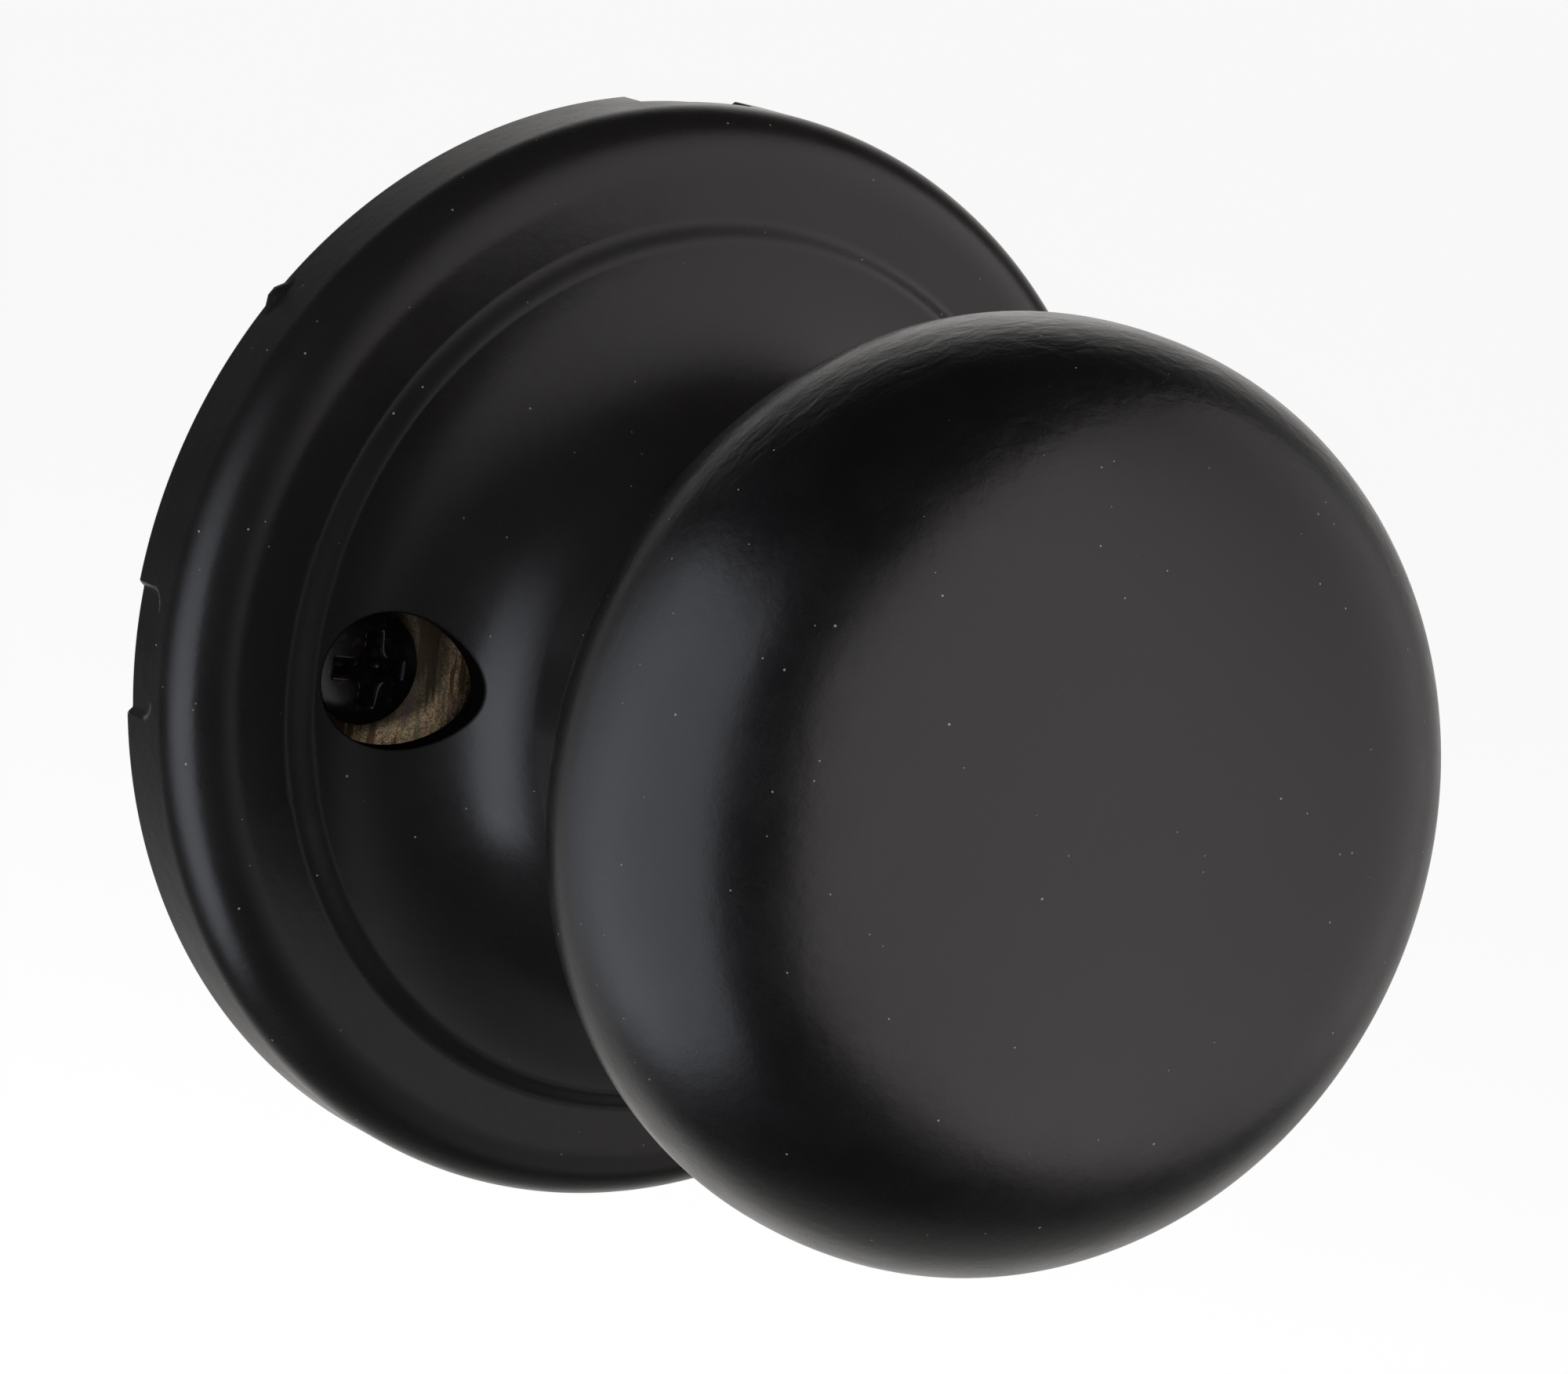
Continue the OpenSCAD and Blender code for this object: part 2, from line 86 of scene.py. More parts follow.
class Builder:
    """Collects points (x, up, out) in millimetres and faces, and makes one closed mesh of them."""

    def __init__(self):
        self.points, self.faces = [], []

    def add(self, x, up, out):
        self.points.append((x * MM, -out * MM, up * MM))
        return len(self.points) - 1

    def bridge(self, a, b, closed=True):
        """Quads between two rows of point numbers."""
        n = len(a)
        for i in range(n if closed else n - 1):
            j = (i + 1) % n
            if a[i] != b[i] or a[j] != b[j]:
                corners = [a[i], a[j], b[j], b[i]]
                self.faces.append([v for k, v in enumerate(corners) if v not in corners[:k]])

    def ring(self, r, out, angles):
        if r < 1e-6:
            p = self.add(0, 0, out)
            return [p] * len(angles)
        return [self.add(r * math.cos(a), r * math.sin(a), out) for a in angles]

    def lathe(self, path, angles):
        """A closed profile of (radius, height) turned round the knob's axis."""
        rows = [self.ring(r, h, angles) for r, h in path]
        for k in range(len(rows)):
            self.bridge(rows[k], rows[(k + 1) % len(rows)])

    def make(self, name, material, body, stands_for, sharp=40):
        mesh = bpy.data.meshes.new(name)
        mesh.from_pydata(self.points, [], [f for f in self.faces if len(f) > 2])
        bm = bmesh.new()
        bm.from_mesh(mesh)
        bmesh.ops.recalc_face_normals(bm, faces=bm.faces)
        bm.to_mesh(mesh)
        bm.free()
        mesh.shade_smooth()
        mesh.set_sharp_from_angle(angle=deg(sharp))
        mesh.materials.append(material)
        obj = bpy.data.objects.new(name, mesh)
        bpy.context.scene.collection.objects.link(obj)
        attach(obj, body)
        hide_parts(stands_for)
        return obj


def even(n):
    return [TAU * i / n for i in range(n)]


# ---- the rose's surfaces: t is the depth below the paint-coated face

def shoulder_point(a, t):
    """A point of the shoulder's quarter ellipse, t below the paint-coated face."""
    c, s = math.cos(deg(a)), math.sin(deg(a))
    n = math.hypot(c / SHOULDER_RUN, s / SHOULDER_RISE)
    return (ROSE_R - SHOULDER_RUN + SHOULDER_RUN * c - t * c / SHOULDER_RUN / n,
            SKIRT_H + SHOULDER_RISE * s - t * s / SHOULDER_RISE / n)


shoulder_end = shoulder_point(SHOULDER_TURN, 0)
RING_RISE = SHOULDER_RISE / SHOULDER_RUN / math.tan(deg(SHOULDER_TURN))
step_z = shoulder_end[1] + RING_RISE * (shoulder_end[0] - STEP_OUT)
flare_c = (STEP_IN + FLARE_R * math.sin(deg(FLARE_START)),
           step_z + STEP_H + FLARE_R * math.cos(deg(FLARE_START)))
top_c = (flare_c[0] - (FLARE_R - FLARE_TOP_R) * math.sin(deg(FLARE_BEND)),
         flare_c[1] - (FLARE_R - FLARE_TOP_R) * math.cos(deg(FLARE_BEND)))
collar_z = top_c[1] - FLARE_TOP_R * math.cos(deg(FLARE_END)) + COLLAR_H


def step_height(r):
    """Height and slope of the face from the shoulder's end to the start of the flare."""
    if r >= RISE_OUT:
        return shoulder_end[1] + RING_RISE * (shoulder_end[0] - r), -RING_RISE
    width = RISE_OUT - RISE_IN
    low = shoulder_end[1] + RING_RISE * (shoulder_end[0] - RISE_OUT)
    aside = flare_c[0] - RISE_IN
    high = flare_c[1] - math.sqrt(FLARE_R ** 2 - aside ** 2)
    m0, m1 = RING_RISE * width, width * aside / (flare_c[1] - high)
    u = (RISE_OUT - r) / width
    a, c = 2 * (low - high) + m0 + m1, 3 * (high - low) - 2 * m0 - m1
    return low + u * (m0 + u * (c + u * a)), -(m0 + u * (2 * c + 3 * u * a)) / width


def rose_height(r, t):
    """Height of the rose's sheet at radius r, t below its paint-coated face, from shoulder to collar."""
    if r <= top_c[0] - (FLARE_TOP_R + t) * math.sin(deg(FLARE_BEND)):
        return top_c[1] - math.sqrt((FLARE_TOP_R + t) ** 2 - (top_c[0] - r) ** 2)
    if r <= RISE_IN:
        return flare_c[1] - math.sqrt((FLARE_R + t) ** 2 - (flare_c[0] - r) ** 2)
    h, slope = step_height(r)
    return h - t * math.sqrt(1 + slope * slope)


def rose_rows_outside(t):
    """From the skirt's back edge up to the step."""
    edge = 0.16
    r0 = ROSE_R - t
    if t == 0:
        rows = [(r0 - edge * (1 - math.sin(a)), edge * (1 - math.cos(a))) for a in
                [deg(90 * i / 4) for i in range(5)]]
    else:
        rows = [(r0, 0.0)]
    rows += [(r0, 0.2 + (SKIRT_H - 0.2) * i / 26) for i in range(26)]
    rows += [shoulder_point(SHOULDER_TURN * i / 30, t) for i in range(31)]
    last = rows[-1][0]
    rows += [(r, rose_height(r, t)) for r in [last + (STEP_OUT + 0.15 - last) * i / 6 for i in range(1, 7)]]
    return rows


def rose_rows_collar(t, r_from):
    """From the holes' patch in to the top of the collar."""
    radius = FLARE_TOP_R + t
    start = math.degrees(math.asin((top_c[0] - r_from) / radius))
    angles = [start + (FLARE_END - start) * i / 8 for i in range(1, 9)]
    rows = [(top_c[0] - radius * math.sin(deg(a)), top_c[1] - radius * math.cos(deg(a))) for a in angles]
    end = rows[-1][0]
    rows += [(end, rows[-1][1] + (collar_z - 0.15 - rows[-1][1]) * i / 6) for i in range(1, 7)]
    rows.append((end + (-0.15 if t == 0 else 0), collar_z))
    return rows


def crimp_mask(angle, h):
    """1 inside a crimp's outline on the skirt, 0 outside it, with a soft edge."""
    near = round(angle / (TAU / 4)) * TAU / 4
    s = abs(angle - near) * ROSE_R
    dx, dy = s - (CRIMP_W / 2 - CRIMP_CORNER), h - (CRIMP_H - CRIMP_CORNER)
    d = math.hypot(max(dx, 0), max(dy, 0)) - CRIMP_CORNER + min(max(dx, dy), 0)
    return 1 - smoothstep(-0.16, 0.16, d)


def burr(angle, h):
    """A small burr on the back edge, part of the way up the left side."""
    s = (angle - BURR_AT) * ROSE_R
    return 0.32 * (1 - smoothstep(0.45, 0.8, abs(s))) * (1 - smoothstep(0.5, 1.1, h))


def skirt_ring(b, r, h, angles, t):
    row = []
    for a in angles:
        q = r
        if h < SKIRT_H:
            q = r - CRIMP_DEPTH * crimp_mask(a, h) + (burr(a, h) if t == 0 else 0)
        row.append(b.add(q * math.cos(a), q * math.sin(a), h))
    return row


def rose_angles():
    """Close together near the crimps and the screw holes, and wider elsewhere."""
    quarter = [deg(0.25 * i) for i in range(33)] + [deg(8 + i) for i in range(1, 74)]
    quarter += [deg(82 + 0.25 * i) for i in range(32)]
    return [k * TAU / 4 + a for k in range(4) for a in quarter]


def inside_patch(a):
    near = round(a / math.pi) * math.pi
    return abs(a - near) < PATCH_HALF - 1e-9


def rose_sheet_surface(b, t, angles):
    """One face of the sheet, with a hole at each screw. Gives its first ring, last ring and hole edges."""
    rows = [skirt_ring(b, r, h, angles, t) for r, h in rose_rows_outside(t)]
    for k in range(len(rows) - 1):
        b.bridge(rows[k], rows[k + 1])
    fine_to, steps = 25.3, 44  # rings lie close together on the step, and wider on the flare
    radii = [PATCH_OUT - 0.1 * i for i in range(20)]
    radii += [fine_to - (fine_to - PATCH_IN) * i / steps for i in range(steps + 1)]
    grid = []
    for r in radii:
        h = rose_height(r, t)
        on_edge = r in (radii[0], radii[-1])
        grid.append([b.add(r * math.cos(a), r * math.sin(a), h)
                     if on_edge or not inside_patch(a) else None for a in angles])
    b.bridge(rows[-1], grid[0])
    n = len(angles)
    for k in range(len(radii) - 1):
        for i in range(n):
            j = (i + 1) % n
            if not (inside_patch(angles[i]) or inside_patch(angles[j])):
                b.faces.append([grid[k][i], grid[k][j], grid[k + 1][j], grid[k + 1][i]])
    edges = []
    for side in (0, n // 2):
        around = [(side + d) % n for d in range(-n // 4, n // 4) if inside_patch(angles[(side + d) % n])]
        around = [(around[0] - 1) % n] + around + [(around[-1] + 1) % n]
        loop = [grid[0][i] for i in around]
        loop += [grid[k][around[-1]] for k in range(1, len(radii) - 1)]
        loop += [grid[-1][i] for i in reversed(around)]
        loop += [grid[k][around[0]] for k in range(len(radii) - 2, 0, -1)]
        cx = HOLE_CENTRE if side == 0 else -HOLE_CENTRE
        edge_r = PUNCHED_EDGE if t == 0 else 0.0
        dirs = []
        for v in loop:
            x, _, z = b.points[v]
            dx, dz = x / MM - cx, z / MM
            d = math.hypot(dx, dz)
            dirs.append((dx / d, dz / d, d))
        previous = loop
        rings = 22
        for k in range(rings - 1, -1, -1):
            s = (k / rings) ** 1.5
            ring = []
            for ux, uz, d in dirs:
                q = ACCESS_R + edge_r + (d - ACCESS_R - edge_r) * s
                x, up = cx + ux * q, uz * q
                ring.append(b.add(x, up, rose_height(math.hypot(x, up), t)))
            b.bridge(previous, ring)
            previous = ring
        if edge_r:
            for k in range(1, 8):
                a = deg(90 * k / 7)
                q = ACCESS_R + edge_r * (1 - math.sin(a))
                ring = []
                drop = edge_r * (1 - math.cos(a))
                for ux, uz, _ in dirs:
                    x, up = cx + ux * q, uz * q
                    ring.append(b.add(x, up, rose_height(math.hypot(x, up), t) - drop))
                b.bridge(previous, ring)
                previous = ring
        edges.append(previous)
    collar = [b.ring(r, h, angles) for r, h in rose_rows_collar(t, PATCH_IN)]
    b.bridge(grid[-1], collar[0])
    for k in range(len(collar) - 1):
        b.bridge(collar[k], collar[k + 1])
    return rows[0], collar[-1], edges


def rose(material):
    b = Builder()
    angles = rose_angles()
    first, last, holes = rose_sheet_surface(b, 0, angles)
    first_in, last_in, holes_in = rose_sheet_surface(b, ROSE_SHEET, angles)
    b.bridge(first, first_in)
    b.bridge(last, last_in)
    for outer, inner in zip(holes, holes_in):
        b.bridge(outer, inner)
    return b.make("rose_cover", material, "rose_side", "rose")


# ---- the knob

def knob_point(a):
    power = FACE_POWER if a >= 0 else BACK_POWER
    depth = FACE_DEPTH if a >= 0 else -BACK_DEPTH
    c, s = max(0.0, math.cos(deg(a))), abs(math.sin(deg(a)))
    return KNOB_R * c ** (2 / power), KNOB_MID + depth * s ** (2 / power)


def knob_angle(r):
    return -math.degrees(math.acos((r / KNOB_R) ** (BACK_POWER / 2)))


def offset(path, t):
    """The path moved sideways by t, and never across the axis."""
    out = []
    for i, p in enumerate(path):
        a, c = path[max(i - 1, 0)], path[min(i + 1, len(path) - 1)]
        dx, dy = c[0] - a[0], c[1] - a[1]
        n = math.hypot(dx, dy)
        out.append((max(0.0, p[0] - t * dy / n), p[1] + t * dx / n))
    return out


def rounded_end(last, before, t, side, steps=6):
    """A half circle of diameter t from the outer path's end round to the inner path's end."""
    dx, dy = last[0] - before[0], last[1] - before[1]
    n = math.hypot(dx, dy)
    fx, fy = dx / n, dy / n
    nx, ny = (-fy * side, fx * side)
    c = (last[0] + nx * t / 2, last[1] + ny * t / 2)
    return [(c[0] - nx * t / 2 * math.cos(a) + fx * t / 2 * math.sin(a),
             c[1] - ny * t / 2 * math.cos(a) + fy * t / 2 * math.sin(a))
            for a in [math.pi * i / steps for i in range(1, steps)]]


def knob_front(material):
    front = [knob_point(90 - 90 * (i / 110)) for i in range(111)]
    behind = [knob_point((knob_angle(HEM_R) + 1.2) * i / 26) for i in range(1, 27)]
    outer = front + behind
    inner = offset(outer, -KNOB_SHEET)
    hem = rounded_end(outer[-1], outer[-2], KNOB_SHEET, -1)
    b = Builder()
    path = outer + hem + list(reversed(inner))
    rows = [b.ring(r, h, even(224)) for r, h in path]
    for k in range(len(rows) - 1):
        b.bridge(rows[k], rows[k + 1])
    return b.make("knob_front", material, "knob_side", "knob_shell")


def knob_rear(material):
    tuck = KNOB_SHEET + 0.05
    hem_a, dish_a = knob_angle(HEM_R - 0.15), knob_angle(DISH_R)
    dish, before = knob_point(dish_a), knob_point(dish_a + 1)
    slope = math.degrees(math.atan2(before[1] - dish[1], before[0] - dish[0]))
    fillet_r = (dish[0] - NECK_R) / (1 - math.sin(deg(slope)))
    fillet = (NECK_R + fillet_r, dish[1] - fillet_r * math.cos(deg(slope)))
    rim = [knob_point(-8 + (hem_a + 8) * i / 12) for i in range(13)]
    outer = offset(rim, -tuck)
    outer += [knob_point(hem_a - 2 + (dish_a - hem_a + 2) * i / 40) for i in range(1, 41)]
    outer += [(fillet[0] + fillet_r * math.cos(deg(a)), fillet[1] + fillet_r * math.sin(deg(a)))
              for a in [90 + slope + (90 - slope) * i / 24 for i in range(1, 25)]]
    outer += [(NECK_R, NECK_END)]
    b = Builder()
    b.lathe(outer + list(reversed(offset(outer, -KNOB_SHEET))), even(192))
    return b.make("knob_rear", material, "knob_side", "knob_back")


# ---- the screws

def box_distance(x, y, a, b):
    dx, dy = abs(x) - a, abs(y) - b
    return math.hypot(max(dx, 0), max(dy, 0)) + min(max(dx, dy), 0)


def recess_depth(x, y):
    """How deep the cross recess is at a point of the head: rounded rim, steep walls, a deeper centre."""
    reach, half, meld = 2.28, 0.56, 0.9  # the cross's arms, and the rounding where they meet
    across, along = box_distance(x, y, reach, half), box_distance(x, y, half, reach)
    blend = max(meld - abs(across - along), 0) / meld
    inside = -(min(across, along) - blend * blend * meld / 4)
    soft, wall = 0.16, 2.8  # half the width of the rounded rim, and the walls' slope
    if inside < -soft:
        return 0.0
    deep = wall * (inside + soft) ** 2 / (4 * soft) if inside < soft else wall * inside
    arms, centre = 1.2, 0.8  # how deep the arms are, and how much deeper the centre is
    return min(deep, arms + centre * smoothstep(1.3, 0.2, math.hypot(x, y)))


def screw(name, cx, turn, material):
    top = PLATE_Z + HEAD_H
    crown_r = (HEAD_R ** 2 + CROWN_H ** 2) / (2 * CROWN_H)
    edge = 0.22
    rim_r = HEAD_R - edge

    def crown(r):
        return top - crown_r + math.sqrt(crown_r ** 2 - r ** 2)

    angles = even(192)
    b = Builder()
    rows = [[b.add(cx, 0, PLATE_Z + 0.02)] * len(angles)]
    sides = [(HEAD_R - 0.12, PLATE_Z + 0.02), (HEAD_R, PLATE_Z + 0.14), (HEAD_R, PLATE_Z + 0.3),
             (HEAD_R, crown(rim_r) - edge * 0.9)]
    sides += [(rim_r + edge * math.cos(a), crown(rim_r) - edge * 0.9 * (1 - math.sin(a)))
              for a in [deg(18 * i) for i in range(1, 5)]]
    for r, h in sides:
        rows.append([b.add(cx + r * math.cos(a), r * math.sin(a), h) for a in angles])
    rings = 60
    for i in range(rings):
        r = rim_r * (1 - i / rings)
        row = []
        for a in angles:
            deep = recess_depth(r * math.cos(a - deg(turn)), r * math.sin(a - deg(turn)))
            row.append(b.add(cx + r * math.cos(a), r * math.sin(a), crown(r) - deep))
        rows.append(row)
    rows.append([b.add(cx, 0, crown(0) - recess_depth(0, 0))] * len(angles))
    for k in range(len(rows) - 1):
        b.bridge(rows[k], rows[k + 1])
    return b.make(name, material, "rose_side", "mounting_screws", sharp=60)


def screw_thread(name, cx, material):
    """The plain neck and the rolled thread, as one tube whose radius follows the helix."""
    depth, lift = THREAD_R - THREAD_ROOT, 0.23  # the thread's full height, and its height at the neck
    b = Builder()
    n, steps = 48, 520
    rows = []
    for k in range(steps + 1):
        z = THREAD_TOP + 0.02 - (THREAD_TOP - SCREW_TIP - 0.02) * k / steps
        row = []
        for a in even(n):
            phase = (z / THREAD_PITCH - a / TAU) % 1.0
            tooth = min(1.0, max(0.0, (1 - abs(2 * phase - 1) - 0.06) / 0.8))
            tip = THREAD_R - 0.7 * smoothstep(1.0, 0.0, z - SCREW_TIP)
            start = THREAD_ROOT + lift + (depth - lift) * smoothstep(0, 0.6, THREAD_TOP - z)
            r = min(THREAD_ROOT + depth * tooth, tip, start)
            row.append(b.add(cx + r * math.cos(a), r * math.sin(a), z))
        rows.append(row)
    neck = [[b.add(cx + r * math.cos(a), r * math.sin(a), h) for a in even(n)]
            for r, h in ((SCREW_NECK_R, PLATE_Z + 0.3), (SCREW_NECK_R, THREAD_TOP + 0.2))]
    b.bridge(neck[0], neck[1])
    b.bridge(neck[1], rows[0])
    for k in range(len(rows) - 1):
        b.bridge(rows[k], rows[k + 1])
    b.faces += [neck[0][:], rows[-1][::-1]]
    return b.make(name, material, "rose_side", "mounting_screws", sharp=60)


# ---------------------------------------------------------------- materials


class Nodes:
    """Short names for the shader nodes used below. Positions are in millimetres of the row frame."""

    def __init__(self, name):
        self.mat = bpy.data.materials.new(name)
        self.mat.use_nodes = True
        self.nt = self.mat.node_tree
        self.nt.nodes.clear()
        self.out = self.nt.nodes.new("ShaderNodeOutputMaterial")
        self.bsdf = self.nt.nodes.new("ShaderNodeBsdfPrincipled")
        self.link(self.bsdf.outputs["BSDF"], self.out.inputs["Surface"])
        where = self.nt.nodes.new("ShaderNodeTexCoord").outputs["Object"]
        scaled = self.nt.nodes.new("ShaderNodeVectorMath")
        scaled.operation = "SCALE"
        self.link(where, scaled.inputs[0])
        scaled.inputs["Scale"].default_value = 1 / MM
        self.mm = scaled.outputs[0]

    def link(self, a, b):
        self.nt.links.new(a, b)

    def put(self, socket, value):
        if hasattr(value, "is_output"):
            self.link(value, socket)
        else:
            socket.default_value = value

    def noise(self, scale, detail=2.0, rough=0.5, vector=None, distortion=0.0):
        n = self.nt.nodes.new("ShaderNodeTexNoise")
        self.link(self.mm if vector is None else vector, n.inputs["Vector"])
        n.inputs["Scale"].default_value = scale
        n.inputs["Detail"].default_value = detail
        n.inputs["Roughness"].default_value = rough
        n.inputs["Distortion"].default_value = distortion
        return n.outputs["Fac"]

    def stretch(self, sx, sy, sz):
        n = self.nt.nodes.new("ShaderNodeMapping")
        self.link(self.mm, n.inputs["Vector"])
        n.inputs["Scale"].default_value = (sx, sy, sz)
        return n.outputs[0]

    def cells(self, scale):
        n = self.nt.nodes.new("ShaderNodeTexVoronoi")
        self.link(self.mm, n.inputs["Vector"])
        n.inputs["Scale"].default_value = scale
        return n.outputs["Distance"], n.outputs["Color"]

    def math(self, op, a, b=0.0, c=0.0):
        n = self.nt.nodes.new("ShaderNodeMath")
        n.operation = op
        self.put(n.inputs[0], a)
        self.put(n.inputs[1], b)
        self.put(n.inputs[2], c)
        return n.outputs[0]

    def distance(self, a, b):
        return self.math("SQRT", self.math("ADD", self.math("MULTIPLY", a, a), self.math("MULTIPLY", b, b)))

    def span(self, value, a, b, c=0.0, d=1.0):
        """c where the value is a, d where it is b, with a smooth step between them."""
        n = self.nt.nodes.new("ShaderNodeMapRange")
        n.interpolation_type = "SMOOTHSTEP"
        self.put(n.inputs["Value"], value)
        for key, v in (("From Min", a), ("From Max", b), ("To Min", c), ("To Max", d)):
            self.put(n.inputs[key], v)
        return n.outputs["Result"]

    def mix(self, fac, a, b):
        n = self.nt.nodes.new("ShaderNodeMix")
        n.data_type = "RGBA"
        self.put(n.inputs[0], fac)
        self.put(n.inputs[6], a if hasattr(a, "is_output") else (*a, 1))
        self.put(n.inputs[7], b if hasattr(b, "is_output") else (*b, 1))
        return n.outputs[2]

    def parts(self, vector=None):
        n = self.nt.nodes.new("ShaderNodeSeparateXYZ")
        self.link(self.mm if vector is None else vector, n.inputs[0])
        return n.outputs[0], n.outputs[1], n.outputs[2]

    def join(self, x, y, z):
        n = self.nt.nodes.new("ShaderNodeCombineXYZ")
        for s, v in zip(n.inputs, (x, y, z)):
            self.put(s, v)
        return n.outputs[0]

    def bump(self, height, distance_mm, after=None):
        n = self.nt.nodes.new("ShaderNodeBump")
        n.inputs["Strength"].default_value = 1.0
        n.inputs["Distance"].default_value = distance_mm * MM
        self.link(height, n.inputs["Height"])
        if after is not None:
            self.link(after, n.inputs["Normal"])
        return n.outputs[0]

    def set(self, **values):
        for key, value in values.items():
            self.put(self.bsdf.inputs[key.replace("_", " ")], value)
        return self.mat


def paint(name, wrinkled, dark, light, ior):
    """Satin black powder paint: fine orange peel, a little grain, and a few specks of dust."""
    n = Nodes(name)
    x, y, z = n.parts()
    peel = n.noise(1.3, 2.0, 0.5)
    grain = n.noise(6.0, 3.0, 0.6)
    from_middle, chance = n.cells(1.0)
    chosen, big, _ = n.parts(chance)
    clean = n.span(x, -25.0, -15.0, 0.35, 0.62) if wrinkled else 0.6
    speck = n.math("MULTIPLY", n.math("LESS_THAN", from_middle, n.math("MULTIPLY_ADD", big, 0.05, 0.02)),
                   n.math("GREATER_THAN", chosen, clean))
    tone = n.span(n.noise(0.25, 3.0, 0.55), 0.3, 0.7, 0.9, 1.1)
    base = n.mix(n.span(n.noise(0.12, 2.0, 0.5), 0.35, 0.65), dark, light)
    base = n.mix(speck, base, (0.30, 0.29, 0.28))
    rough = n.math("MULTIPLY", tone, n.span(grain, 0.2, 0.8, 0.25, 0.30))
    normal = n.bump(peel, 0.010)
    normal = n.bump(grain, 0.0030, after=normal)
    if wrinkled:
        angle = n.math("ARCTAN2", x, z)
        around = n.join(n.math("MULTIPLY", angle, 15.0), n.math("MULTIPLY", y, 1.1), 0.0)
        ripple = n.noise(1.0, 3.0, 0.55, around, distortion=0.4)
        where = n.math("MULTIPLY", n.span(y, -34.0, -39.0), n.span(y, -53.5, -47.5))
        upper = n.span(n.math("ADD", z, n.math("MULTIPLY", x, 0.35)), 2.0, 16.0, 0.12, 1.0)
        normal = n.bump(n.math("MULTIPLY", ripple, n.math("MULTIPLY", where, upper)), 0.055, after=normal)
    if not wrinkled:
        # Painted shade: the access holes' walls and rounded edges get a near-black colour and weak
        # specular, standing in for the dark inside of each hole.
        aside = n.math("SUBTRACT", n.math("ABSOLUTE", x), HOLE_CENTRE)
        clear_of_wall_shade = n.span(n.distance(aside, z), ACCESS_R + 0.01, ACCESS_R + 0.16)
        base = n.mix(clear_of_wall_shade, (0.0015, 0.0013, 0.0013), base)
        n.set(Specular_IOR_Level=n.span(clear_of_wall_shade, 0.0, 1.0, 0.06, 0.5))
    return n.set(Base_Color=base, Roughness=rough, Normal=normal, IOR=ior)


def yellow_zinc():
    """Yellow chromate on zinc: calm gold behind, and grainy with streaks in front, dished at the screws."""
    n = Nodes("yellow_zinc")
    x, y, z = n.parts()
    aside = n.math("SUBTRACT", n.math("ABSOLUTE", x), SCREW_R)
    band = n.noise(0.5, 3.0, 0.6, n.stretch(2.0, 1.0, 0.25))
    haze = n.noise(0.55, 2.0, 0.5, n.stretch(1.7, 1.0, 0.5))
    grain = n.noise(9.0, 3.0, 0.7)
    tint = n.mix(n.span(band, 0.44, 0.50), (0.22, 0.13, 0.075), (1.0, 0.80, 0.50))
    tint = n.mix(n.span(band, 0.57, 0.66), tint, (0.42, 0.40, 0.25))
    tint = n.mix(n.span(haze, 0.58, 0.72), tint, (0.72, 0.44, 0.52))
    tint = n.mix(n.span(grain, 0.60, 0.36), tint, (0.26, 0.19, 0.11))
    # Painted shadow: a near-black patch round each screw head, off-centre toward the knob's axis, where the
    # head shades the plate.
    inward, above = n.math("ADD", aside, 2.5), n.math("SUBTRACT", z, 0.3)
    head_shadow_reach = n.distance(inward, above)
    tint = n.mix(n.span(head_shadow_reach, 3.7, 4.7, 0.15, 1.0), (0.040, 0.038, 0.025), tint)
    cloud = n.noise(0.16, 3.0, 0.55)
    calm = n.mix(n.span(cloud, 0.35, 0.62), (0.80, 0.60, 0.28), (0.86, 0.70, 0.38))
    calm = n.mix(n.span(n.noise(0.21, 2.0, 0.5), 0.56, 0.70), calm, (0.74, 0.58, 0.40))
    tint = n.mix(n.span(y, -3.9, -4.3), calm, tint)
    dish = n.math("MULTIPLY", n.span(n.distance(aside, z), 3.6, 8.7, 0.0, 2.4), n.span(y, -3.6, -4.3))
    normal = n.bump(dish, 1.0)
    normal = n.bump(grain, 0.035, after=normal)
    rough = n.span(grain, 0.2, 0.8, 0.30, 0.5)
    return n.set(Base_Color=tint, Metallic=0.9, Roughness=rough, Normal=normal)


def black_oxide():
    """Black screw finish: slightly glossy, with faint grey wear."""
    n = Nodes("black_screw")
    wear = n.noise(1.6, 4.0, 0.65)
    base = n.mix(n.span(wear, 0.52, 0.7), (0.0065, 0.0050, 0.0048), (0.016, 0.013, 0.012))
    normal = n.bump(n.noise(5.0, 3.0, 0.6), 0.0015)
    rough = n.span(wear, 0.3, 0.7, 0.20, 0.30)
    return n.set(Base_Color=base, Roughness=rough, Normal=normal, IOR=1.42)


def nylon(name, color, tone):
    n = Nodes(name)
    base = n.mix(n.span(n.noise(0.9, 3.0, 0.5), 0.3, 0.7), color, tone)
    normal = n.bump(n.noise(4.0, 3.0, 0.6), 0.006)
    rough = n.span(n.noise(2.5, 2.0, 0.5), 0.3, 0.7, 0.42, 0.56)
    return n.set(Base_Color=base, Roughness=rough, Normal=normal)


def plated(name, color, tone, low, high, grain_scale, grain_depth, stretch=(1, 1, 1)):
    """Plated or bare steel: metal with fine grain, drawn the way the sheet or wire was, and uneven tone."""
    n = Nodes(name)
    grain = n.noise(grain_scale, 4.0, 0.6, n.stretch(*stretch))
    cloud = n.noise(0.3, 4.0, 0.6)
    base = n.mix(n.span(cloud, 0.32, 0.68), color, tone)
    base = n.mix(n.span(grain, 0.3, 0.75, 0.0, 0.35), base, [c * 0.6 for c in color])
    normal = n.bump(grain, grain_depth)
    middle = (low + high) / 2
    rough = n.math("ADD", n.span(cloud, 0.3, 0.7, low, middle), n.span(grain, 0.2, 0.8, 0.0, high - middle))
    return n.set(Base_Color=base, Metallic=1.0, Roughness=rough, Normal=normal)


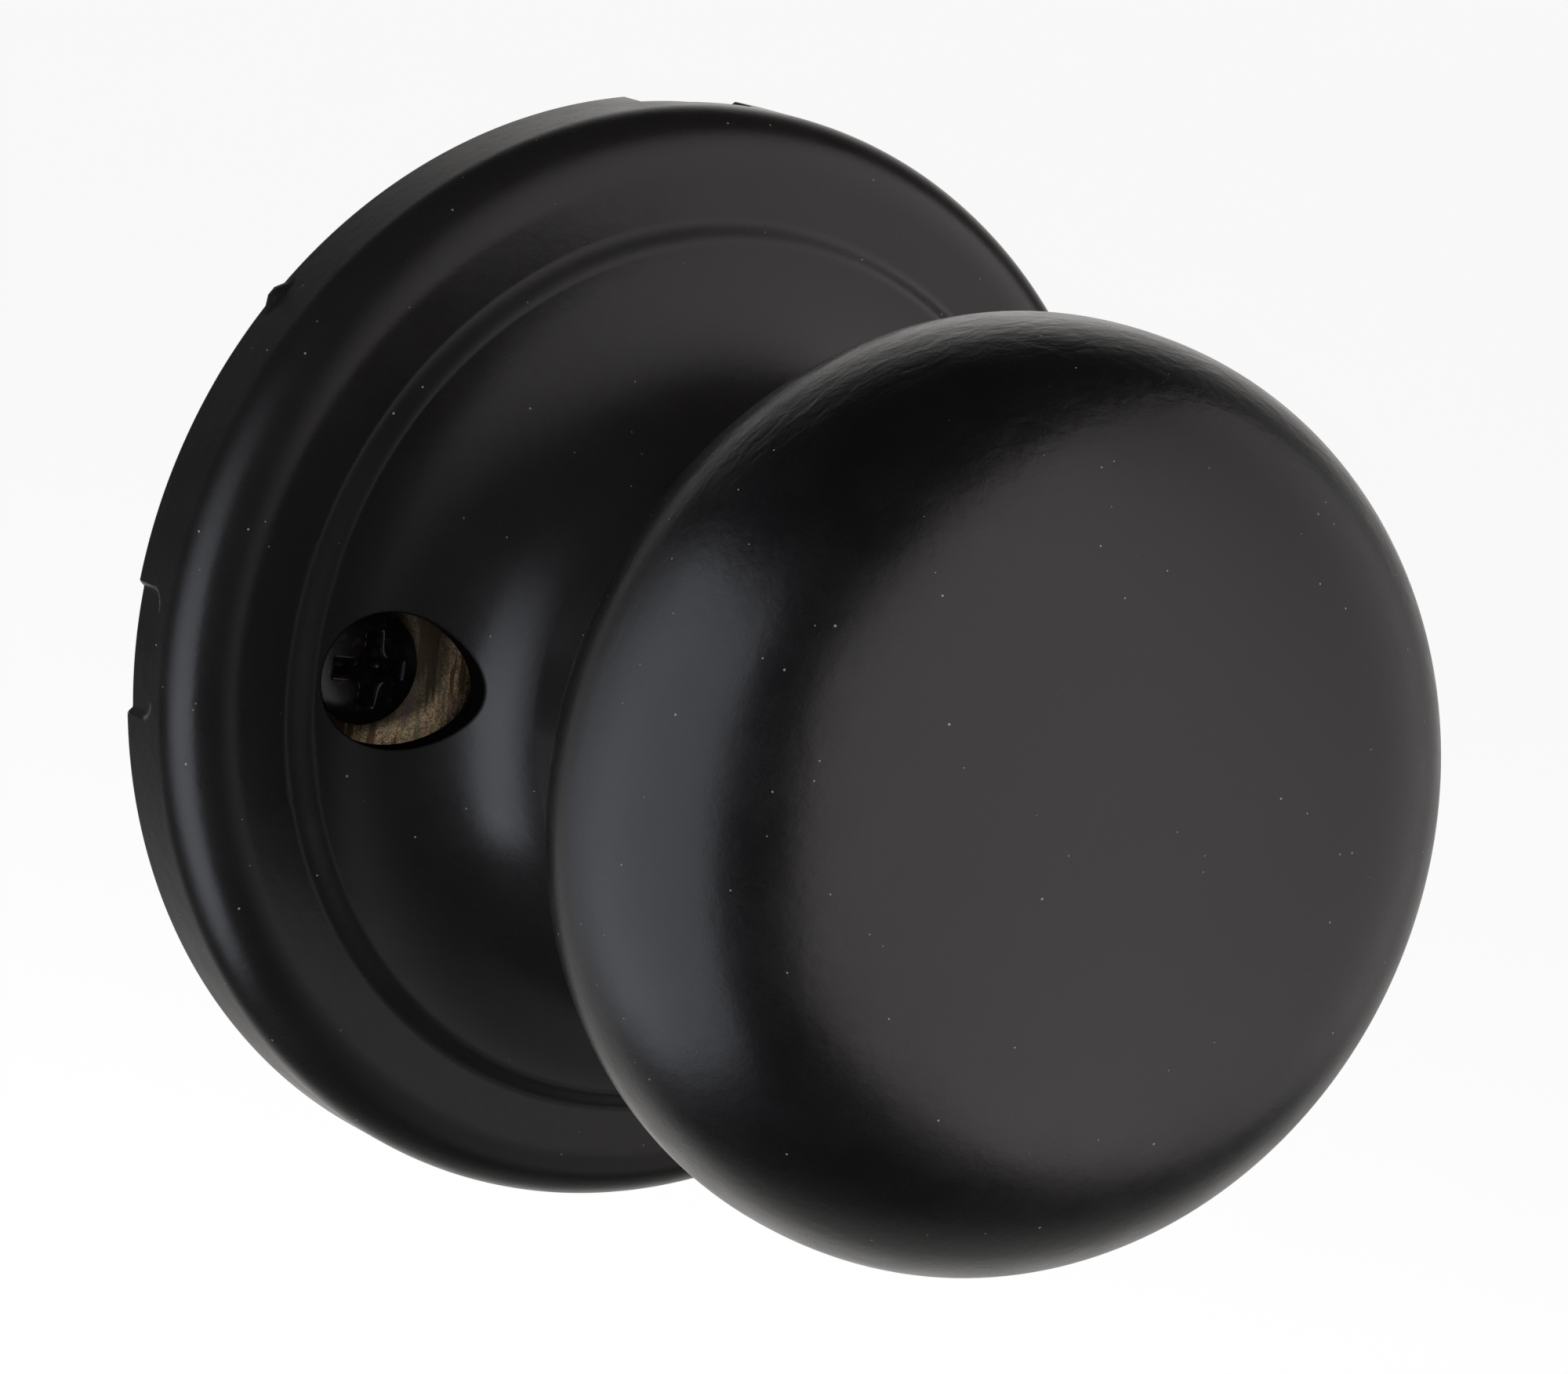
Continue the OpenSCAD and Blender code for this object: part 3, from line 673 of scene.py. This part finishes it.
black_paint = paint("black_paint", False, (0.0125, 0.0113, 0.0110), (0.0137, 0.0126, 0.0124), 1.36)
knob_paint = paint("black_knob_paint", True, (0.0054, 0.0047, 0.0049), (0.0060, 0.0054, 0.0058), 1.5)
screw_black = black_oxide()
SHEEN = {
    "yellow_zinc": yellow_zinc(),
    "black_nylon": nylon("black_nylon", (0.018, 0.018, 0.018), (0.03, 0.03, 0.031)),
    "white_nylon": nylon("white_nylon", (0.70, 0.67, 0.60), (0.80, 0.78, 0.72)),
    "bronze": plated("bronze", (0.42, 0.27, 0.13), (0.55, 0.38, 0.20), 0.42, 0.62, 5.0, 0.02),
    "zinc_steel": plated("zinc_steel", (0.56, 0.59, 0.64), (0.66, 0.67, 0.68), 0.24, 0.42, 3.5, 0.006),
    "rivet_steel": plated("rivet_steel", (0.50, 0.52, 0.55), (0.60, 0.61, 0.62), 0.28, 0.48, 6.0, 0.01),
    "spring_steel": plated("spring_steel", (0.16, 0.155, 0.15), (0.24, 0.23, 0.22), 0.26, 0.46, 5.0, 0.008),
    "plain_steel": plated("plain_steel", (0.40, 0.40, 0.41), (0.50, 0.50, 0.50), 0.34, 0.52, 5.0, 0.008,
                          (1.0, 1.0, 0.2)),
    "die_cast_zinc": plated("die_cast_zinc", (0.42, 0.42, 0.44), (0.54, 0.54, 0.55), 0.42, 0.6, 4.0, 0.02),
    "black_paint": black_paint,
    "black_knob_paint": knob_paint,
    "black_screw": screw_black,
}

for row in frame["record"]["subparts"]:
    piece = NODES[row["node"]]
    piece.data.materials.clear()
    piece.data.materials.append(SHEEN[row["material_slot"]])

rose_cover = rose(black_paint)
knob_front(knob_paint)
knob_rear(knob_paint)
for side, x in (("left", -SCREW_R), ("right", SCREW_R)):
    screw("screw_head_" + side, x, DRIVER_TURN, screw_black)
    screw_thread("screw_thread_" + side, x, screw_black)

# ---------------------------------------------------------------- camera

BACK = Vector((-0.54662, -0.81620, 0.18715)).normalized()
TARGET = Vector((-6.547, -28.0, 3.497))
DISTANCE, ROLL = 365.39, deg(6.4198)
across = Vector((0, 0, 1)).cross(BACK).normalized()
upward = BACK.cross(across)
right = math.cos(ROLL) * across + math.sin(ROLL) * upward
top = -math.sin(ROLL) * across + math.cos(ROLL) * upward
camera = bpy.data.objects.new("camera", bpy.data.cameras.new("camera"))
bpy.context.scene.collection.objects.link(camera)
turned = Matrix((right, top, BACK)).transposed().to_4x4()
camera.matrix_world = Matrix.Translation((TARGET + BACK * DISTANCE) * MM) @ turned
camera.data.sensor_width = 36.0
camera.data.lens = 148.954
camera.data.clip_start, camera.data.clip_end = 0.01, 20.0
bpy.context.scene.camera = camera

# ---------------------------------------------------------------- light and floor

GAUGE = deg(9.5)  # the photographer's upright leans this far from the row's


def studio():
    """Dim, soft panels behind the object, and a pale backdrop that only the camera sees."""
    world = bpy.data.worlds.new("studio")
    bpy.context.scene.world = world
    world.use_nodes = True
    nt = world.node_tree
    nt.nodes.clear()

    def node(kind, **props):
        n = nt.nodes.new("ShaderNode" + kind)
        for k, v in props.items():
            setattr(n, k, v)
        return n

    def put(socket, v):
        if hasattr(v, "is_output"):
            nt.links.new(v, socket)
        else:
            socket.default_value = v

    def along(v):
        n = node("VectorMath", operation="DOT_PRODUCT")
        nt.links.new(direction, n.inputs[0])
        n.inputs[1].default_value = v
        return n.outputs["Value"]

    def span(value, a, b):
        n = node("MapRange", interpolation_type="SMOOTHSTEP")
        put(n.inputs["Value"], value)
        n.inputs["From Min"].default_value = a
        n.inputs["From Max"].default_value = b
        return n.outputs["Result"]

    def around(az, height, inner, outer):
        """1 within the inner angle of a direction, and 0 past the outer one."""
        c = math.cos(deg(height))
        x, y, z = math.sin(deg(az)) * c, -math.cos(deg(az)) * c, math.sin(deg(height))
        lean = math.cos(GAUGE), math.sin(GAUGE)
        near = along((x * lean[0] - z * lean[1], y, x * lean[1] + z * lean[0]))
        return span(near, math.cos(deg(outer)), math.cos(deg(inner)))

    direction = node("TexCoord").outputs["Generated"]
    total = None
    for mask, color in [
        (around(155, -12, 32, 56), (0.46, 0.45, 0.44)),
        (around(155, -4, 12, 34), (0.50, 0.49, 0.48)),
        (around(150, -58, 12, 36), (0.26, 0.26, 0.25)),
        (1.0, (0.015, 0.015, 0.015)),
    ]:
        n = node("VectorMath", operation="SCALE")
        n.inputs[0].default_value = color
        put(n.inputs["Scale"], mask)
        if total is None:
            total = n.outputs[0]
        else:
            s = node("VectorMath", operation="ADD")
            nt.links.new(total, s.inputs[0])
            nt.links.new(n.outputs[0], s.inputs[1])
            total = s.outputs[0]
    lit = node("Background")
    nt.links.new(total, lit.inputs["Color"])
    plain = node("Background")
    plain.inputs["Color"].default_value = (0.97, 0.97, 0.97, 1)
    pick = node("MixShader")
    nt.links.new(node("LightPath").outputs["Is Camera Ray"], pick.inputs[0])
    nt.links.new(lit.outputs[0], pick.inputs[1])
    nt.links.new(plain.outputs[0], pick.inputs[2])
    nt.links.new(pick.outputs[0], node("OutputWorld").inputs["Surface"])


def softbox(name, az, target, distance, left, right, low, high, color,
            lights=None, spares=None, fades=(), glossy=True):
    """A flat upright light that faces the target from the angle az, at a distance in mm.

    Each edge is a pair: where the light starts and where it is full, in mm from the target. A fade is
    (0 across or 1 up, where it is dimmest, where it is full, how dim). It lights one piece alone, or
    spares one piece. Without glossy it isn't seen in reflections.
    """
    lean = Matrix.Rotation(-GAUGE, 3, "Y")
    ahead = lean @ Vector((math.sin(deg(az)), -math.cos(deg(az)), 0))
    aside = lean @ Vector((math.cos(deg(az)), math.sin(deg(az)), 0))
    up = lean @ Vector((0, 0, 1))
    width, tall = right[0] - left[0], high[0] - low[0]
    data = bpy.data.lights.new(name, "AREA")
    data.shape, data.size, data.size_y = "RECTANGLE", width * MM, tall * MM
    data.energy = math.pi * width * tall * MM * MM
    data.use_nodes = True
    nt = data.node_tree
    nt.nodes.clear()
    where = nt.nodes.new("ShaderNodeSeparateXYZ")
    nt.links.new(nt.nodes.new("ShaderNodeNewGeometry").outputs["Parametric"], where.inputs[0])
    shade = None
    ramps = [(0, v, 0) for v in (left, right)] + [(1, v, 0) for v in (low, high)]
    ramps += [(axis, (start, end), least) for axis, start, end, least in fades]
    for axis, (edge, full), least in ramps:
        start, size = ((left[0], width), (low[0], tall))[axis]
        ramp = nt.nodes.new("ShaderNodeMapRange")
        ramp.interpolation_type = "SMOOTHSTEP"
        nt.links.new(where.outputs[axis], ramp.inputs["Value"])
        ramp.inputs["From Min"].default_value = (edge - start) / size
        ramp.inputs["From Max"].default_value = (full - start) / size
        ramp.inputs["To Min"].default_value = least
        if shade is None:
            shade = ramp.outputs["Result"]
        else:
            both = nt.nodes.new("ShaderNodeMath")
            both.operation = "MULTIPLY"
            nt.links.new(shade, both.inputs[0])
            nt.links.new(ramp.outputs["Result"], both.inputs[1])
            shade = both.outputs[0]
    lamp = nt.nodes.new("ShaderNodeEmission")
    lamp.inputs["Color"].default_value = (*color, 1)
    nt.links.new(shade, lamp.inputs["Strength"])
    nt.links.new(lamp.outputs[0], nt.nodes.new("ShaderNodeOutputLight").inputs["Surface"])
    obj = bpy.data.objects.new(name, data)
    bpy.context.scene.collection.objects.link(obj)
    middle = target + ahead * distance + aside * (left[0] + right[0]) / 2 + up * (low[0] + high[0]) / 2
    obj.matrix_world = Matrix.Translation(middle * MM) @ Matrix((aside, up, ahead)).transposed().to_4x4()
    obj.visible_glossy = glossy
    if lights or spares:
        group = bpy.data.collections.new(name + "_pieces")
        group.objects.link(lights or spares)
        obj.light_linking.receiver_collection = group
        group.collection_objects[0].light_linking.link_state = "INCLUDE" if lights else "EXCLUDE"


def floor():
    n = Nodes("floor")
    shade = n.noise(0.004, 3.0, 0.5)
    base = n.mix(n.span(shade, 0.3, 0.7), (0.80, 0.80, 0.80), (0.82, 0.82, 0.82))
    n.set(Base_Color=base, Roughness=0.9, Emission_Color=(1, 1, 1, 1), Emission_Strength=0.88)
    mesh = bpy.data.meshes.new("floor")
    half, z = 9.0, -0.16  # in metres
    corners = [(-half, -half, z), (half, -half, z), (half, half, z), (-half, half, z)]
    mesh.from_pydata(corners, [], [(0, 1, 2, 3)])
    mesh.materials.append(n.mat)
    obj = bpy.data.objects.new("floor", mesh)
    bpy.context.scene.collection.objects.link(obj)
    obj.visible_glossy = obj.visible_diffuse = obj.visible_shadow = False


# One set of lights can't show both the rose and the knob as the photo does, so the rose has its own.
studio()
on_knob, on_rose = Vector((0, -57, 0)), Vector((0, -8, 0))
softbox("key_light", 33, on_knob, 100, (-372, -332), (328, 288), (-228, -188), (222, 182),
        (1.21, 1.15, 1.18), spares=rose_cover, fades=[(0, 125, -30, 0.42)])
softbox("side_light", -100, on_knob, 400, (-700, -130), (225, 195), (-560, -330), (480, 380),
        (1.24, 1.29, 1.43), spares=rose_cover)
softbox("rose_key_light", 20, on_rose, 300, (-340, 80), (824, 724), (-900, -600), (720, 160),
        (1.40, 1.34, 1.34), lights=rose_cover, fades=[(1, -290, -70, 0.3)])
softbox("rose_side_light", -95, on_rose, 400, (-240, 20), (210, 170), (-480, -380), (430, -60),
        (2.6, 2.75, 3.05), lights=rose_cover)
softbox("rose_fill_light", -60, on_rose, 400, (-300, -200), (300, 200), (-100, 200), (500, 400),
        (0.95, 0.92, 0.98), lights=rose_cover, glossy=False)
floor()
bpy.context.scene.view_settings.view_transform = "Standard"

bpy.context.view_layer.update()
